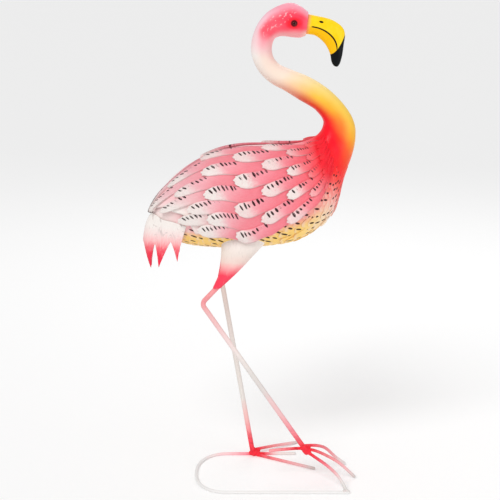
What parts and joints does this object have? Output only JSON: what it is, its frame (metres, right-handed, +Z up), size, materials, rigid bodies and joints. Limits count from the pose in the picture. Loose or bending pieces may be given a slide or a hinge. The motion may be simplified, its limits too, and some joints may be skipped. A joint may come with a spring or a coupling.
{
  "type": "metal flamingo garden statue",
  "caption": "Standing flamingo of painted sheet metal with an S-shaped neck, feathered wings, hooked beak, rod legs with long toes and a wire rail loop it stands on.",
  "frame": {"origin": "on the ground, at the middle of the figure's overall length and width", "axes": "+Z up; +X the way the bird looks; +Y to the bird's left"},
  "size_m": [0.4059, 0.2635, 0.8996],
  "materials": {
    "feather_paint": "glossy enamel, pink feathers with white tips",
    "beak_paint": "glossy yellow enamel with a black tip",
    "leg_paint": "satin pink to white enamel",
    "rail_paint": "satin white enamel",
    "eye_bead": "polished black bead"
  },
  "bodies": {
    "root": {"body": "feather_paint", "right_wing": "feather_paint", "left_wing": "feather_paint", "tail": "feather_paint", "beak": "beak_paint", "right_eye": "eye_bead", "left_eye": "eye_bead", "right_thigh": "leg_paint", "left_thigh": "leg_paint", "right_leg": "leg_paint", "left_leg": "leg_paint", "right_middle_toe": "leg_paint", "right_inner_toe": "leg_paint", "right_outer_toe": "leg_paint", "right_hind_toe": "leg_paint", "left_middle_toe": "leg_paint", "left_inner_toe": "leg_paint", "left_outer_toe": "leg_paint", "rail": "rail_paint"}
  },
  "joints": []
}
